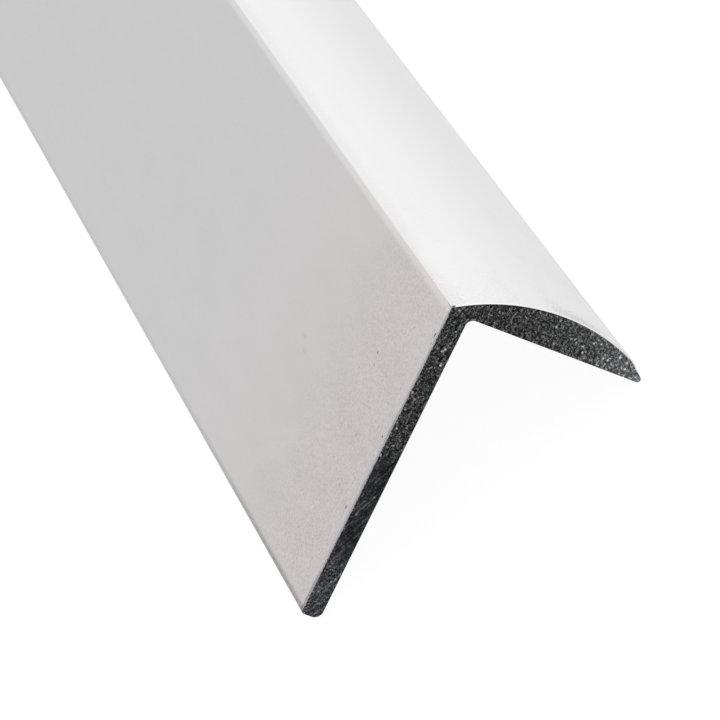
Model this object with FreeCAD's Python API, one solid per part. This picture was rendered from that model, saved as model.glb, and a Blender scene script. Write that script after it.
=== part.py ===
import FreeCAD, Part
import math
import os

# Aluminium edge trim: one extruded bar that caps the corner of a board.
# A flat leg runs down the board's face, and a crowned leg lies over its edge.
# The crowned leg thins out to a blunt tip, and both ends of the bar are sawn square.

# Sizes in millimetres, slopes in degrees.
# The section is drawn with the board's corner at the origin, the flat leg hanging down
# from it and the crowned leg reaching to the right, so its underside is at height 0.
length = 1000.0
wall = 2.0
leg_depth = 31.6
leg_end_inner_radius = 0.85
leg_end_outer_radius = 0.4
root_fillet = 0.7
reach = 18.0
tip_radius = 0.3
bevel_slope = 42.0
bevel_length = 1.3
shoulder_radius = 3.0
crown_radius = 20.3
ridge_rise = 0.4
ridge_radius = 0.2
saw_chamfer = 0.12

along_bar = FreeCAD.Vector(0, 1, 0)


def point(across, up):
    return FreeCAD.Vector(across, 0, up)


def toward(angle):
    """Unit vector in the section, the angle counted from the right, upwards."""
    return point(math.cos(math.radians(angle)), math.sin(math.radians(angle)))


def bearing(vector):
    return math.degrees(math.atan2(vector.z, vector.x))


def centre_between(first, first_radius, second, second_radius):
    """Where circles about two points cross, on the right of the way from the first to the second."""
    span = second - first
    gap = span.Length
    turn = math.acos((gap**2 + first_radius**2 - second_radius**2) / (2 * gap * first_radius))
    return first + toward(bearing(span) - math.degrees(turn)) * first_radius


def arc(centre, radius, start, end):
    through = [centre + toward(angle) * radius for angle in (start, (start + end) / 2, end)]
    return Part.Arc(*through).toShape()


def joined(arcs):
    """One closed outline of the arcs in their order, with a straight run between arcs that don't meet."""
    edges = []
    for index, bend in enumerate(arcs):
        leave = arcs[index - 1].lastVertex(True).Point
        arrive = bend.firstVertex(True).Point
        if leave.distanceToPoint(arrive) > 1e-6:
            edges.append(Part.LineSegment(leave, arrive).toShape())
        edges.append(bend)
    return Part.Wire(edges)


# The crowned leg, from its tip back to the ridge.
# A straight bevel climbs from the tip, a shoulder arc eases it into the crown, and the
# crown runs down to the ridge over the flat leg.
bevel_normal = 90 - bevel_slope
tip = point(reach - tip_radius, tip_radius)
bevel_top = tip + toward(bevel_normal) * tip_radius + toward(bevel_normal + 90) * bevel_length
shoulder = bevel_top - toward(bevel_normal) * shoulder_radius
ridge = point(ridge_radius - wall, ridge_rise)
crown = centre_between(ridge, crown_radius - ridge_radius, shoulder, crown_radius - shoulder_radius)
crown_end = bearing(shoulder - crown)
crown_start = bearing(ridge - crown)

# The end of the flat leg, with a rounder corner on the board's side.
leg_inner = point(-leg_end_inner_radius, leg_end_inner_radius - leg_depth)
leg_outer = point(leg_end_outer_radius - wall, leg_end_outer_radius - leg_depth)

outline = joined([
    arc(ridge, ridge_radius, 180, crown_start),
    arc(crown, crown_radius, crown_start, crown_end),
    arc(shoulder, shoulder_radius, crown_end, bevel_normal),
    arc(tip, tip_radius, bevel_normal, -90),
    arc(point(root_fillet, -root_fillet), root_fillet, 90, 180),
    arc(leg_inner, leg_end_inner_radius, 0, -90),
    arc(leg_outer, leg_end_outer_radius, -90, -180),
])
bar = Part.Face(outline).extrude(along_bar * length)

# The saw burr is filed off all round both ends.
sawn_edges = [
    edge
    for face in bar.Faces
    if abs(abs(face.normalAt(0, 0).dot(along_bar)) - 1) < 1e-6
    for edge in face.Edges
]
bar = bar.makeChamfer(saw_chamfer, sawn_edges)

# The bar stands like a tent on the end of its flat leg and on its tip.
# The floor touches both roundings, so the line between their centres leaves it by a hair.
between = tip - leg_inner
lift = math.degrees(math.asin((leg_end_inner_radius - tip_radius) / between.Length))
lean = bearing(between) + lift
bar.rotate(FreeCAD.Vector(0, 0, 0), along_bar, lean)
box = bar.optimalBoundingBox(False)
bar.translate(FreeCAD.Vector(-box.Center.x, -box.Center.y, -box.ZMin))

os.makedirs("parts", exist_ok=True)
bar.exportStep("parts/edge_trim.step")

box = bar.optimalBoundingBox(False)
print("edge_trim", "valid" if bar.isValid() else "broken", round(bar.Volume, 1), "mm3")
print("size", round(box.XLength, 3), round(box.YLength, 3), round(box.ZLength, 3))
print("crown rises", round(crown.z + crown_radius, 3), "highest at", round(crown.x, 3), "lean", round(lean, 3))
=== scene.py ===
import math

import bmesh
import bpy
from mathutils import Matrix, Quaternion, Vector


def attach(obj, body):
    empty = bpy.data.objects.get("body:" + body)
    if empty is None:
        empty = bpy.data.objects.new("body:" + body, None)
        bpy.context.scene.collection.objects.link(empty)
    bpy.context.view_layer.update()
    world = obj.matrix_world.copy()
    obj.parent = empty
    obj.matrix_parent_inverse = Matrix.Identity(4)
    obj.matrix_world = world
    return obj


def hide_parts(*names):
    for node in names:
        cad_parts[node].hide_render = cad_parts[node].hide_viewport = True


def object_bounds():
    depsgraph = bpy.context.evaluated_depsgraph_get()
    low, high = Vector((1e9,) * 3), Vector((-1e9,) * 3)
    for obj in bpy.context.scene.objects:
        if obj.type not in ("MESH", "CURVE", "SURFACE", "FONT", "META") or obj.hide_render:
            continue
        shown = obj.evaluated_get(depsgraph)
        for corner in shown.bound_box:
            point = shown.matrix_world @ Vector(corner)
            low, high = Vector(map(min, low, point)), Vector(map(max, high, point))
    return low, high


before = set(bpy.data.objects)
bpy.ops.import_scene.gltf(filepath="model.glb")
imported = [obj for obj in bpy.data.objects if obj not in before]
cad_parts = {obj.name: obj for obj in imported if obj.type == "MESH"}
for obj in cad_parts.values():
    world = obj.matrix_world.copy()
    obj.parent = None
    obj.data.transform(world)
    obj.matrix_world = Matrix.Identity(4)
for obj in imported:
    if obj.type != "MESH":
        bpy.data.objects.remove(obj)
cad_low, cad_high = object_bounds()
bpy.ops.object.select_all(action="DESELECT")

# The bar: one aluminium extrusion, a flat leg with a crowned leg across its top.
# Its section is drawn upright, with the board's corner at the origin, as runs and turns
# of one long edge, and the closed skin is then leant over to its seat on the floor.
wall = 0.0020
leg_depth = 0.0316
leg_end_inner_radius = 0.00085
leg_end_outer_radius = 0.0004
root_fillet = 0.0007
reach = 0.0180
tip_radius = 0.0003
bevel_slope = 42.0
bevel_length = 0.0013
shoulder_radius = 0.0030
crown_radius = 0.0203
ridge_rise = 0.0004
ridge_radius = 0.0002
leg_strips = 64
bevel_strips = 5
filed_depth = 0.00012
filed_waver = 0.00002
half_length = (cad_high.y - cad_low.y) / 2


def toward(angle):
    """Unit vector in the section, the angle counted from the right, upwards."""
    return Vector((math.cos(math.radians(angle)), 0, math.sin(math.radians(angle))))


def bearing(vector):
    return math.degrees(math.atan2(vector.z, vector.x))


def turn(centre, angle, steps):
    """Swings the selected long edge clockwise about a centre, leaving a rounded face behind it."""
    bpy.ops.mesh.spin(
        steps=steps, angle=-math.radians(angle), center=centre, axis=(0, 1, 0), use_auto_merge=False
    )


def run(across, up):
    """Draws the selected long edge out along a straight face."""
    bpy.ops.mesh.extrude_edges_move(TRANSFORM_OT_translate={"value": (across, 0, up)})


def choose(kind, test):
    """Selects the vertices, edges or faces that pass a test."""
    bpy.ops.mesh.select_mode(type={"verts": "VERT", "edges": "EDGE", "faces": "FACE"}[kind])
    bpy.ops.mesh.select_all(action="DESELECT")
    shape = bmesh.from_edit_mesh(bpy.context.edit_object.data)
    for part in getattr(shape, kind):
        part.select_set(test(part))
    shape.select_flush_mode()
    bmesh.update_edit_mesh(bpy.context.edit_object.data)


bevel_normal = 90 - bevel_slope
tip = Vector((reach - tip_radius, 0, tip_radius))
bevel_top = tip + toward(bevel_normal) * tip_radius + toward(bevel_normal + 90) * bevel_length
shoulder = bevel_top - toward(bevel_normal) * shoulder_radius
ridge = Vector((ridge_radius - wall, 0, ridge_rise))
span = shoulder - ridge
to_ridge = crown_radius - ridge_radius
to_shoulder = crown_radius - shoulder_radius
swing = math.acos((span.length**2 + to_ridge**2 - to_shoulder**2) / (2 * span.length * to_ridge))
crown = ridge + toward(bearing(span) - math.degrees(swing)) * to_ridge
crown_start = bearing(ridge - crown)
crown_end = bearing(shoulder - crown)
leg_inner = Vector((-leg_end_inner_radius, 0, leg_end_inner_radius - leg_depth))
leg_outer = Vector((leg_end_outer_radius - wall, 0, leg_end_outer_radius - leg_depth))

bpy.ops.mesh.primitive_grid_add(
    x_subdivisions=leg_strips,
    y_subdivisions=1,
    size=1,
    location=(-wall, 0, (ridge.z + leg_outer.z) / 2),
    rotation=(0, math.radians(90), 0),
)
bar = bpy.context.object
bar.name = "trim_bar"
bpy.ops.object.transform_apply(location=True, rotation=True, scale=True)
bpy.ops.object.mode_set(mode="EDIT")
bpy.ops.transform.resize(
    value=(1, 2 * half_length, ridge.z - leg_outer.z),
    center_override=(-wall, 0, (ridge.z + leg_outer.z) / 2),
)
choose("edges", lambda edge: all(vertex.co.z > 0.9 * ridge.z for vertex in edge.verts))
turn(ridge, 180 - crown_start, steps=10)
turn(crown, crown_start - crown_end, steps=48)
turn(shoulder, crown_end - bevel_normal, steps=10)
bevel_strip = toward(-bevel_slope) * bevel_length / bevel_strips
for strip in range(bevel_strips):
    run(bevel_strip.x, bevel_strip.z)
turn(tip, bevel_normal + 90, steps=16)
run(root_fillet - tip.x, 0)
turn(Vector((root_fillet, 0, -root_fillet)), -90, steps=12)
run(0, leg_inner.z + root_fillet)
turn(leg_inner, 90, steps=12)
run(leg_outer.x - leg_inner.x, 0)
turn(leg_outer, 90, steps=8)
bpy.ops.mesh.select_all(action="SELECT")
bpy.ops.mesh.remove_doubles(threshold=0.000001)

# Each end is sawn square, and its burr is filed off over the crown, the ridge and the outside
# of the flat leg. The narrow sloping edge that the file left wavers a little down the leg, and
# it fades out just before the tip.
filed_to = bevel_top.x + 0.0008
fade_from = bevel_top.x + 0.0002
fade_steps = 8
faded_share = 0.95
above_board = 0.0001
for side in (-1, 1):
    choose("edges", lambda edge: all(side * vertex.co.y > 0.9 * half_length for vertex in edge.verts))
    bpy.ops.mesh.edge_face_add()
bpy.ops.mesh.select_all(action="SELECT")
bpy.ops.mesh.normals_make_consistent(inside=False)


def burred(edge):
    """Whether an edge bounds a sawn end where its burr was filed off."""
    first, second = [vertex.co for vertex in edge.verts]
    centre = (first + second) / 2
    over_crown = centre.z > above_board and centre.x < filed_to
    down_leg = centre.x < leg_outer.x and centre.z > leg_outer.z
    return first.y * second.y > 0 and (over_crown or down_leg)


def fading(vertex):
    """Whether a corner of a sawn end lies where the filed edge still has to fade."""
    at_end = abs(vertex.co.y) > half_length - 0.1 * filed_depth
    return at_end and vertex.co.z > above_board and fade_line < vertex.co.x < filed_to


def wavering(vertex):
    """Whether a corner of the sawn end on this side lies on the outside of the flat leg."""
    at_end = side * vertex.co.y > half_length - 0.1 * filed_depth
    return at_end and vertex.co.z < ridge.z and vertex.co.x < leg_outer.x


choose("edges", burred)
bpy.ops.mesh.bevel(offset=filed_depth, segments=1, affect="EDGES")
widening = 1 + faded_share * filed_depth / fade_steps / crown_radius
for step in range(fade_steps):
    fade_line = fade_from + (filed_to - fade_from) * step / fade_steps
    choose("verts", fading)
    bpy.ops.transform.resize(value=(widening, 1, widening), center_override=crown)
for side in (-1, 1):
    choose("verts", wavering)
    bpy.ops.transform.vertex_random(offset=filed_waver, seed=side + 4)
    bpy.ops.transform.resize(value=(1, 0, 1), center_override=(0, side * half_length, 0))

# The finished bar stands like a tent on the end of its flat leg and on its tip.
between = tip - leg_inner
lean = math.radians(bearing(between)) + math.asin((leg_end_inner_radius - tip_radius) / between.length)
leaning = Matrix.Rotation(lean, 3, "Y")
seat = Vector((
    cad_low.x + leg_end_outer_radius - (leaning @ leg_outer).x,
    0,
    leg_end_inner_radius - (leaning @ leg_inner).z,
))
bpy.ops.mesh.select_all(action="SELECT")
bpy.ops.transform.rotate(value=-lean, orient_axis="Y", center_override=(0, 0, 0))
bpy.ops.transform.translate(value=seat)

bpy.ops.object.mode_set(mode="OBJECT")
bpy.ops.object.shade_smooth_by_angle(angle=math.radians(30))
weighting = bar.modifiers.new("even_normals", "WEIGHTED_NORMAL")
weighting.keep_sharp = True
bpy.ops.object.modifier_apply(modifier=weighting.name)
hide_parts("edge_trim")
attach(bar, "root")


# The satin skin: soft aluminium, drawn through a die and etched to an even matt grey.
# The die leaves faint lines along the bar, and handling has left a few small marks.
class Field:
    """A shader socket that joins in sums as a number does, and can add any other node."""

    def __init__(self, tree, socket=None):
        self.tree = tree
        self.socket = socket

    def node(self, kind, settings=None, inputs=None, output=0):
        """Adds a node: first its settings, then the values or links of its sockets."""
        node = self.tree.nodes.new(kind)
        for name, value in (settings or {}).items():
            setattr(node, name, value)
        for name, value in (inputs or {}).items():
            if isinstance(value, Field):
                self.tree.links.new(value.socket, node.inputs[name])
            else:
                node.inputs[name].default_value = value
        return Field(self.tree, node.outputs[output] if node.outputs else None)

    def also(self, output):
        """Another output of the node that this socket is on."""
        return Field(self.tree, self.socket.node.outputs[output])

    def math(self, operation, *values):
        return self.node("ShaderNodeMath", {"operation": operation}, dict(enumerate(values)))

    def climb(self, low, high):
        """Goes smoothly from 0 to 1 as the value goes from low to high."""
        step = {"Value": self, "From Min": low, "From Max": high}
        return self.node("ShaderNodeMapRange", {"interpolation_type": "SMOOTHSTEP"}, step)

    def __add__(self, other):
        return self.math("ADD", self, other)

    def __sub__(self, other):
        return self.math("SUBTRACT", self, other)

    def __rsub__(self, other):
        return self.math("SUBTRACT", other, self)

    def __mul__(self, other):
        return self.math("MULTIPLY", self, other)

    def __pow__(self, other):
        return self.math("POWER", self, other)

    def __abs__(self):
        return self.math("ABSOLUTE", self)

    __radd__ = __add__
    __rmul__ = __mul__


def new_finish(name, piece):
    """An empty material in the piece's next slot, as a field to build on."""
    material = bpy.data.materials.new(name)
    material.use_nodes = True
    material.node_tree.nodes.clear()
    piece.data.materials.append(material)
    return Field(material.node_tree)


def section_place(finish):
    """A point's place in millimetres, and its parts: rightward, along from the near end, and up."""
    to_section = leaning.inverted()
    origin = to_section @ Vector((seat.x, -half_length, seat.z)) * 1000
    place = finish.node("ShaderNodeMapping", None, {
        "Vector": finish.node("ShaderNodeTexCoord", output="Object"),
        "Location": -origin,
        "Rotation": to_section.to_euler(),
        "Scale": (1000, 1000, 1000),
    })
    across = finish.node("ShaderNodeSeparateXYZ", None, {"Vector": place})
    return place, across, across.also("Y"), across.also("Z")


def stretched(place, *scale):
    return place.node("ShaderNodeVectorMath", {"operation": "MULTIPLY"}, {0: place, 1: scale})


def noise(place, scale, detail=2.0, roughness=0.5):
    """A cloudy field about 0.5, its cells 1/scale mm wide."""
    return place.node("ShaderNodeTexNoise", None, {
        "Vector": place, "Scale": scale, "Detail": detail, "Roughness": roughness,
    })


def slant(first, second):
    """The length of the slant over two distances at a right angle."""
    return (first * first + second * second) ** 0.5


def oval(first, second, first_half, second_half):
    """1 about the point that two distances are counted from, and 0 outside an oval about it."""
    first = first * (1 / first_half)
    second = second * (1 / second_half)
    return (first * first + second * second).climb(1.0, 0.2)


def spot(place, centre, radius):
    """1 about a point, and 0 from a radius outward."""
    ends = {0: place, 1: centre}
    distance = place.node("ShaderNodeVectorMath", {"operation": "DISTANCE"}, ends, "Value")
    return distance.climb(radius, 0.3 * radius)


def blend(factor, first, second):
    """Colours mixed by a factor: the node's sockets 6 and 7 take them, and output 2 is the mix."""
    return factor.node("ShaderNodeMix", {"data_type": "RGBA"}, {0: factor, 6: first, 7: second}, 2)


bar.data.materials.clear()
skin = new_finish("satin_skin", bar)
place, across, along, up = section_place(skin)
half_bar = 1000 * half_length
from_end = half_bar - abs(along - half_bar)
handled = from_end.climb(38, 2)
die_lines = noise(stretched(place, 1, 0.003, 1), 6, 4, 0.6)
grain = noise(place, 3.6, 2, 0.9)
clouds = noise(stretched(place, 1, 0.3, 1), 0.35, 4, 0.6)
on_leg = across.climb(-1.7, -1.9)
on_crown = 1 - on_leg
# Painted sheen: the crown is painted a little lighter about 4.5 mm from the ridge, fading out to either
# side.
crown_painted_sheen = 0.012 + 0.025 * abs(across - 4.5).climb(4, 1)
tone = 0.978 - 0.040 * handled * on_leg + on_crown * crown_painted_sheen

# The grain is stronger near the ends, where the bar was handled.
grain_on_leg = 0.10 + 0.82 * from_end.climb(30, 3)
grain_on_crown = 0.10 + 0.35 * from_end.climb(12, 2) + 0.5 * from_end.climb(4, 1.5) * across.climb(3, 9)
grain_share = on_leg * grain_on_leg + on_crown * grain_on_crown
cloud_share = 0.05 + 0.14 * handled
tone = tone + grain_share * (grain - 0.5) + cloud_share * (clouds - 0.5) + 0.03 * (die_lines - 0.5)

# Rubbed places, a few tenths of a millimetre to a few millimetres wide, and painted light: a painted
# highlight on the shoulder by the ends and on the leg just under the ridge, and painted shade on the
# crown beside the ridge and along the foot of the flat leg.
scuff = on_crown * from_end.climb(3.2, 0.6) * abs(across - 10.2).climb(3.6, 0.8)
shoulder_painted_highlight = on_crown * from_end.climb(12, 4) * across.climb(12, 14.5)
ridge_painted_shade = on_crown * across.climb(-0.6, -1.7)
ridge_painted_highlight = on_leg * up.climb(-0.35, 0.15)
foot_painted_shade = on_leg * up.climb(-30.7, -31.2) * (0.06 + 0.32 * from_end.climb(65, 0))
rubbed_deeper = abs(up + 12).climb(2.2, 0.8) + up.climb(-26.8, -28.2)
end_rub = on_leg * from_end.climb(0.5, 0) * (0.30 + 0.40 * rubbed_deeper)
tone = tone + 0.035 * shoulder_painted_highlight + 0.08 * ridge_painted_highlight - 0.05 * ridge_painted_shade
tone = tone - 0.15 * scuff * (0.2 + clouds + grain) - foot_painted_shade - end_rub

# Small dark marks by the near end: their place along and up or across, half widths, and depth.
leg_marks = (
    (11.0, -8.91, 0.16, 0.16, 0.68),
    (10.4, -9.92, 0.16, 0.14, 0.24),
    (29.1, -14.8, 0.9, 0.20, 0.06),
    (27.6, -15.8, 0.9, 0.20, 0.05),
    (0.62, -2.75, 0.22, 0.36, 0.66),
    (0.60, -3.6, 0.16, 0.20, 0.42),
    (1.45, -21.05, 0.28, 0.22, 0.52),
    (1.1, -13.5, 0.15, 0.17, 0.68),
    (5.16, -20.4, 0.22, 0.20, 0.20),
    (6.93, -15.8, 0.5, 0.35, 0.09),
    (9.33, -26.8, 0.2, 0.2, 0.18),
    (6.85, -26.3, 0.2, 0.2, 0.15),
    (6.9, -27.9, 0.2, 0.9, 0.07),
    (6.75, -29.7, 0.2, 0.7, 0.06),
    (0.55, -25.0, 0.12, 2.2, 0.10),
    (0.40, -28.6, 0.10, 2.6, 0.20),
    # The last mark is a thin dark line just under the ridge by the end: painted shade in the small
    # crease there.
    (0.6, 0.36, 0.8, 0.07, 0.55),
)
crown_marks = (
    (1.5, 7.6, 0.13, 0.13, 0.12),
    (10.0, 0.2, 0.2, 0.2, 0.05),
    (16.0, 0.6, 0.2, 0.2, 0.05),
)
for mark_along, mark_up, half_along, half_up, depth in leg_marks:
    tone = tone - depth * on_leg * oval(along - mark_along, up - mark_up, half_along, half_up)
for mark_along, mark_across, half_along, half_across, depth in crown_marks:
    tone = tone - depth * on_crown * oval(
        along - mark_along, across - mark_across, half_along, half_across
    )

# The flat leg turns a little warmer towards the near end.
crown_colour = (0.965, 0.965, 0.965, 1)
# The flat leg's colour is painted shade, a little darker than the crown's.
leg_painted_shade_colour = (0.913, 0.902, 0.907, 1)
warm_colour = (0.922, 0.871, 0.862, 1)
black = (0, 0, 0, 1)
warmth = on_leg * along.climb(60, 2)
skin_colour = blend(warmth, blend(on_leg, crown_colour, leg_painted_shade_colour), warm_colour)
ridge_ease = 0.20 * up.climb(0.85, -0.45) * across.climb(-1.0, -1.6) * up.climb(-30, -3)
skin_bump = skin.node("ShaderNodeBump", None, {
    "Strength": 1.0,
    "Distance": 0.001,
    "Height": ridge_ease + 0.0006 * grain + 0.0008 * die_lines,
})
skin_shader = skin.node("ShaderNodeBsdfPrincipled", None, {
    "Base Color": blend(tone, black, skin_colour),
    "Metallic": 1.0,
    "Roughness": 0.40 + 0.08 * (clouds - 0.5),
    "Normal": skin_bump,
})
skin.node("ShaderNodeOutputMaterial", None, {"Surface": skin_shader})

# The sawn ends: bare metal as the circular saw left it, gritty and scored by the teeth, and painted
# dark as painted shade for the dark surroundings that it mirrors.
# The teeth swept long arcs about the blade's centre, which lay far off to the left of the bar.
blade_centre_across = -93
blade_centre_up = 24
usual_sweep = 100
score_stretch = 0.12
sawn = new_finish("sawn_end_painted_shade", bar)
place, across, along, up = section_place(sawn)
from_blade_across = across - blade_centre_across
from_blade_up = up - blade_centre_up
sweep_radius = slant(from_blade_across, from_blade_up)
sweep_arc = usual_sweep * from_blade_up.math("ARCTAN2", from_blade_up, from_blade_across)
sweep = sawn.node("ShaderNodeCombineXYZ", None, {"X": sweep_radius, "Y": score_stretch * sweep_arc})
grit = noise(place, 3.4, 3, 0.85)
fleck = noise(place, 2.4, 2, 0.6)
flecks = abs(fleck - 0.5).climb(0.035, 0.008) * noise(place, 1.9, 1, 0.5).climb(0.48, 0.60)
scores = noise(sweep, 4.0, 3, 0.7)
crown_grit = across.climb(2, 8)
leg_smooth = up.climb(-13.5, -16) * up.climb(-27, -25)
leg_foot = up.climb(-24.6, -26)
grit_share = 1 - 0.62 * leg_smooth - 0.3 * up.climb(-27, -28)
score_share = 0.75 - 0.35 * crown_grit - 0.3 * up.climb(-3, -6) * up.climb(-14, -12)
# The painted shade: a dark base level for the whole face, lighter towards the tip and at the foot of
# the leg.
painted_shade_level = (
    0.0335 + 0.026 * across.climb(4, 12) + 0.096 * across.climb(10.5, 17)
    - 0.003 * up.climb(-12, -16) + 0.016 * leg_foot + 0.008 * up.climb(-27, -28)
)
tip_calm = 1 - 0.22 * across.climb(11, 15)
contrast = (grit - 0.5) * grit_share * tip_calm * 14 + (scores - 0.5) * score_share * 8
# Painted glints: small bright specks scattered over the face, more of them along the leg's outer edge.
glints = noise(place, 5.2, 2, 0.6).climb(0.59, 0.72)
edge_glint_area = up.climb(-5, -9) * across.climb(-1.5, -1.8)
glint_share = grit_share * (0.34 - 0.16 * across.climb(11, 15)) + 0.4 * edge_glint_area
shade = painted_shade_level * grit.math("EXPONENT", contrast) + 0.12 * flecks * grit_share + glint_share * glints

# Bright strokes of single teeth: radius of the sweep, from and to which height, half width, shine.
strokes = (
    (101.96, -21.5, -18.1, 0.07, 0.10),
    (101.58, -21.0, -18.8, 0.06, 0.05),
    (96.22, -4.1, -2.6, 0.06, 0.09),
    (97.12, -5.8, -4.2, 0.06, 0.12),
    (97.45, -5.6, -4.9, 0.05, 0.08),
    (99.0, -14.5, -12.8, 0.06, 0.05),
    (105.45, -29.3, -26.0, 0.05, 0.06),
    (105.66, -29.9, -26.6, 0.05, 0.08),
    (105.90, -30.4, -27.0, 0.05, 0.07),
    (106.12, -30.6, -27.6, 0.05, 0.06),
    (106.36, -30.8, -28.3, 0.05, 0.04),
)
for stroke_radius, stroke_low, stroke_high, half_width, shine in strokes:
    on_arc = abs(sweep_radius - stroke_radius).climb(half_width, 0.2 * half_width)
    in_reach = up.climb(stroke_low, stroke_low + 0.5) * up.climb(stroke_high, stroke_high - 0.5)
    shade = shade + shine * on_arc * in_reach * grit.climb(0.25, 0.6)

# Fine curled scratches: centre, radius, the middle and half span of the arc in degrees, shine.
curls = (
    (4.85, 1.55, 1.05, 180, 38, 0.20),
    (2.15, 1.10, 0.62, 180, 42, 0.14),
    (10.55, 1.55, 0.33, 80, 80, 0.16),
    (14.9, 0.75, 0.30, 150, 60, 0.14),
)
for curl_across, curl_up, curl_radius, curl_middle, half_span, shine in curls:
    off_across = across - curl_across
    off_up = up - curl_up
    off = slant(off_across, off_up)
    facing = toward(curl_middle)
    ahead = off_across * facing.x + off_up * facing.z
    in_span = (ahead - off * math.cos(math.radians(half_span))).climb(-0.03, 0.05)
    shade = shade + shine * in_span * abs(off - curl_radius).climb(0.06, 0.02)

# Painted glints on bright chips: place across and up, and shine. The bluish patches have a radius
# before the shine.
painted_glint_chips = (
    (-0.45, -5.02, 0.60), (-1.80, -14.91, 0.60), (-1.58, -12.00, 0.52), (-1.26, -8.86, 0.48),
    (-0.71, -3.45, 0.46), (-1.74, -8.31, 0.46), (-1.46, -3.63, 0.34), (-0.89, -3.73, 0.32),
    (-0.53, -2.77, 0.32), (-1.35, -20.94, 0.30), (-0.50, -18.84, 0.26), (-1.38, -26.44, 0.26),
    (-1.16, -5.49, 0.26), (-1.62, -10.03, 0.26), (-1.34, -29.08, 0.22), (15.17, 1.65, 0.66),
    (11.55, 0.82, 0.56), (16.07, 0.73, 0.40), (14.14, 0.95, 0.42), (8.12, 2.14, 0.50),
    (14.63, 0.40, 0.36), (-1.18, 0.41, 0.44), (12.21, 2.01, 0.38), (8.17, 2.88, 0.38),
    (10.57, 1.49, 0.34), (8.57, 0.64, 0.36), (10.34, 1.72, 0.28), (11.91, 0.33, 0.28),
)
glint_chip_radius = 0.15
for glint_across, glint_up, shine in painted_glint_chips:
    glint_chip = spot(place, (glint_across, 0, glint_up), glint_chip_radius)
    shade = shade + shine * glint_chip * grit.climb(0.1, 0.6)
blue_patches = (
    (0.25, 1.35, 0.28, 0.07),
    (15.2, 1.6, 0.22, 0.10),
    (17.5, 0.22, 0.45, 0.12),
    (-0.8, 0.75, 0.3, 0.05),
)
blueness = 0.08 + 0.25 * up.climb(-14, -16)
for patch_across, patch_up, patch_radius, shine in blue_patches:
    patch = spot(place, (patch_across, 0, patch_up), patch_radius)
    shade = shade + shine * patch * grit.climb(0.2, 0.7)
    blueness = blueness + 0.5 * patch
cut_colour = blend(blueness, (1.0, 1.0, 1.0, 1), (0.80, 0.88, 1.16, 1))
cut_bump = sawn.node("ShaderNodeBump", None, {
    "Strength": 0.5, "Distance": 0.001, "Height": 0.012 * grit + 0.02 * scores,
})
cut_shader = sawn.node("ShaderNodeBsdfPrincipled", None, {
    "Base Color": blend(shade, black, cut_colour),
    "Metallic": 1.0,
    "Roughness": 0.5,
    "Normal": cut_bump,
})
sawn.node("ShaderNodeOutputMaterial", None, {"Surface": cut_shader})

# The filed edge round each sawn end is bright bare metal, and gritty down the flat leg.
filed = new_finish("filed_edge", bar)
place, across, along, up = section_place(filed)
grit = noise(place, 4, 3, 0.8)
leg_edge = across.climb(-1.6, -1.8)
worn_through = (across + 0.25 * (grit - 0.5)).climb(-1.94, -1.89)
glints = noise(place, 5.2, 2, 0.6).climb(0.56, 0.68) * up.climb(-5, -9)
filed_tone = 0.97 - leg_edge * (0.36 + 0.54 * worn_through * (1 - 0.8 * glints))
filed_shader = filed.node("ShaderNodeBsdfPrincipled", None, {
    "Base Color": blend(filed_tone, black, (0.97, 0.965, 0.96, 1)),
    "Metallic": 1.0,
    "Roughness": 0.35,
})
filed.node("ShaderNodeOutputMaterial", None, {"Surface": filed_shader})
for face in bar.data.polygons:
    squareness = abs(face.normal.y)
    if squareness > 0.1:
        face.material_index = 1 if squareness > 0.95 else 2

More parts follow.
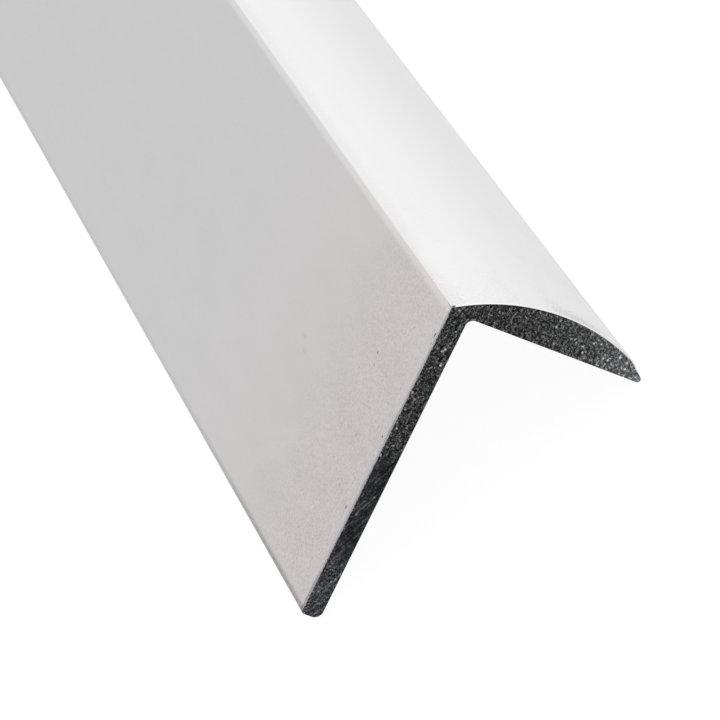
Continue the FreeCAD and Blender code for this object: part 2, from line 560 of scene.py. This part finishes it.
# The floor is plain and white, a little greyer where the metal mirrors it, and it keeps the
# bar's faint shadow.
floor_white = 0.89
floor_mirrored = 0.66
bpy.ops.mesh.primitive_plane_add(size=24)
floor = bpy.context.object
floor.name = "studio_floor"
ground = new_finish("white_floor", floor)
ray = ground.node("ShaderNodeLightPath", output="Is Camera Ray")
shown = floor_white * (ray + ray.also("Is Transmission Ray"))
shown = shown + floor_mirrored * ray.also("Is Glossy Ray")
glow = ground.node("ShaderNodeEmission", None, {
    "Color": (1, 1, 1, 1), "Strength": shown.math("MINIMUM", shown, floor_white),
})
matt = ground.node("ShaderNodeBsdfDiffuse", None, {"Color": (0.16, 0.16, 0.16, 1)})
ground.node("ShaderNodeOutputMaterial", None, {
    "Surface": ground.node("ShaderNodeAddShader", None, {0: glow, 1: matt}),
})

# The studio: a soft wall of light all round, dimmer on the left.
world = bpy.data.worlds.new("studio")
bpy.context.scene.world = world
world.use_nodes = True
world.node_tree.nodes.clear()
studio = Field(world.node_tree)
rightward = studio.node("ShaderNodeSeparateXYZ", None, {
    "Vector": studio.node("ShaderNodeTexCoord", output="Generated"),
})
height = rightward.also("Z")
left = 0.23 + 0.43 * height.climb(-0.35, 0.3)
right = 0.78 + 0.18 * height.climb(-0.6, 0.3)
brightness = left + (right - left) * rightward.climb(-0.42, 0.05)
sky = studio.node("ShaderNodeBackground", None, {"Color": (1, 1, 1, 1), "Strength": brightness})
studio.node("ShaderNodeOutputWorld", None, {"Surface": sky})

bpy.ops.object.light_add(type="AREA", location=(0.7, -0.4, 1.1))
key = bpy.context.object
key.name = "key_light"
key.data.shape = "DISK"
key.data.size = 1.3
key.data.energy = 0.8
key.rotation_euler = (-key.location).to_track_quat("-Z", "Y").to_euler()

# The camera looks down at the near end from just above it, rolled so that the bar runs off
# to the upper right.
camera_distance = 0.503047
camera_azimuth = math.radians(1.7461)
camera_height = math.radians(26.1418)
camera_roll = math.radians(37.0405)
looked_at = Vector((-0.0008416, -0.4999725, 0.0185946))
back = Vector((
    math.sin(camera_azimuth) * math.cos(camera_height),
    -math.cos(camera_azimuth) * math.cos(camera_height),
    math.sin(camera_height),
))
upright = back.to_track_quat("Z", "Y")
bpy.ops.object.camera_add(location=looked_at + back * camera_distance)
camera = bpy.context.object
camera.name = "photograph_view"
camera.rotation_euler = (upright @ Quaternion((0, 0, 1), -camera_roll)).to_euler()
camera.data.sensor_width = 36
camera.data.lens = 279.47
camera.data.clip_start = 0.01
bpy.context.scene.camera = camera
bpy.context.scene.view_settings.view_transform = "Standard"
